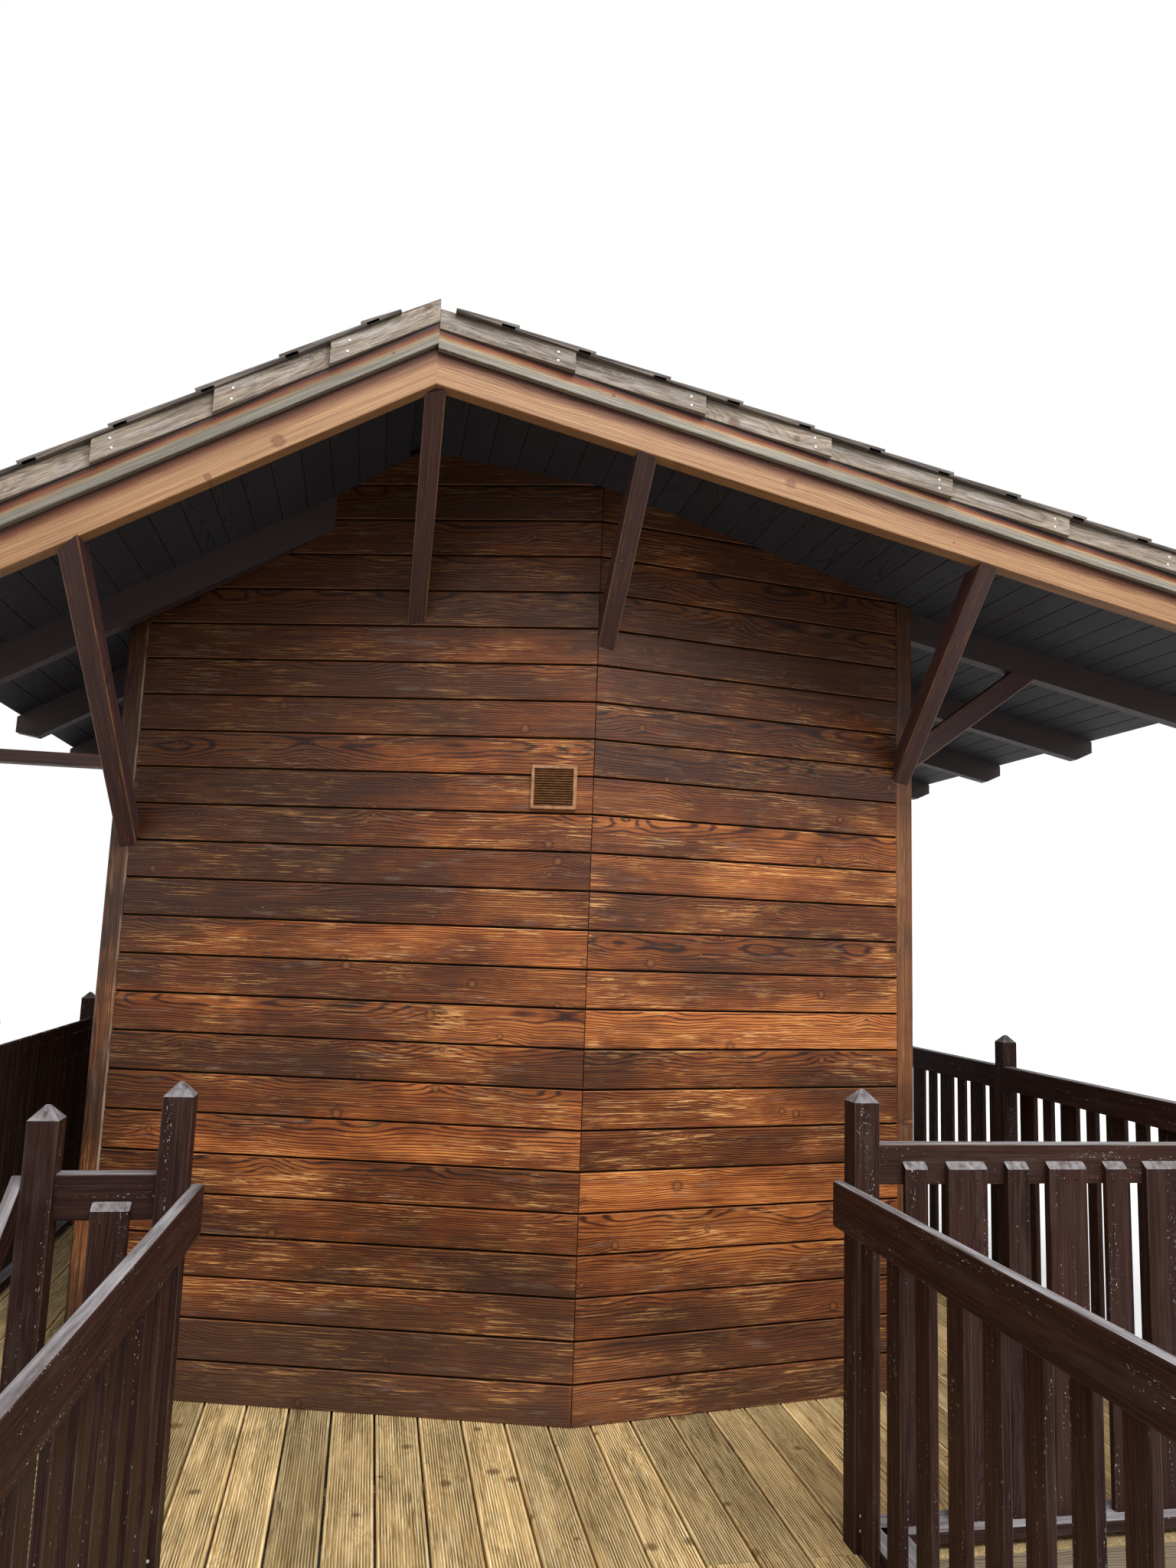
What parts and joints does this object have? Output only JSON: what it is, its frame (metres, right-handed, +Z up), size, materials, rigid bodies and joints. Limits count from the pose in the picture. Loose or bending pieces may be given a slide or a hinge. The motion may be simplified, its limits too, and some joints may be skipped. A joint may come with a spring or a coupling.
{
  "type": "wooden cabin",
  "caption": "Timber cabin with an uneven gable roof on a railed terrace of boards, reached by a railed walkway.",
  "frame": {"origin": "on the ground, under the middle of the outline seen from above", "axes": "+Y from the walkway's free end towards the cabin, +X to the right, +Z up"},
  "size_m": [5.467, 7.94, 4.3633],
  "materials": {
    "wall_boards": "stained",
    "corner_timber": "stained, worn",
    "brace_timber": "stained, worn",
    "fresh_rafter": "fresh, lightly oiled",
    "shaded_rafter": "stained",
    "weathered_barge": "weathered",
    "weathered_verge": "weathered",
    "roof_boards": "stained",
    "shingles": "weathered",
    "deck_boards": "weathered, grooved",
    "floor_boards": "bare",
    "frame_timber": "weathered",
    "rail_paint": "semi-gloss dark brown paint",
    "reed": "matte",
    "vent_metal": "satin brown"
  },
  "bodies": {
    "root": {"front_wall_left": "wall_boards", "front_wall_right": "wall_boards", "back_wall_left": "wall_boards", "back_wall_right": "wall_boards", "left_wall": "wall_boards", "right_wall": "wall_boards", "door_leaf": "wall_boards", "corner_posts": "corner_timber", "door_frame": "corner_timber", "front_knee_braces": "brace_timber", "back_knee_braces": "brace_timber", "side_braces": "brace_timber", "eave_ties": "brace_timber", "left_verge_rafters": "fresh_rafter", "right_verge_rafters": "fresh_rafter", "left_rafters": "shaded_rafter", "right_rafters": "shaded_rafter", "left_barge_boards": "weathered_barge", "right_barge_boards": "weathered_barge", "left_verge_boards": "weathered_verge", "right_verge_boards": "weathered_verge", "left_roof_deck": "roof_boards", "right_roof_deck": "roof_boards", "left_roof_covering": "shingles", "right_roof_covering": "shingles", "ridge_cap": "shingles", "terrace_deck": "deck_boards", "walkway_deck": "deck_boards", "stair": "deck_boards", "cabin_floor": "floor_boards", "deck_beams": "frame_timber", "deck_joists": "frame_timber", "deck_posts": "frame_timber", "deck_rims": "frame_timber", "railing_posts": "rail_paint", "left_walkway_railing": "rail_paint", "right_walkway_railing": "rail_paint", "front_railings": "rail_paint", "left_side_railing": "rail_paint", "right_side_railing": "rail_paint", "back_railing": "rail_paint", "stair_railing": "rail_paint", "reed_screen": "reed", "vent_frame": "vent_metal", "vent_louvres": "vent_metal"}
  },
  "joints": []
}
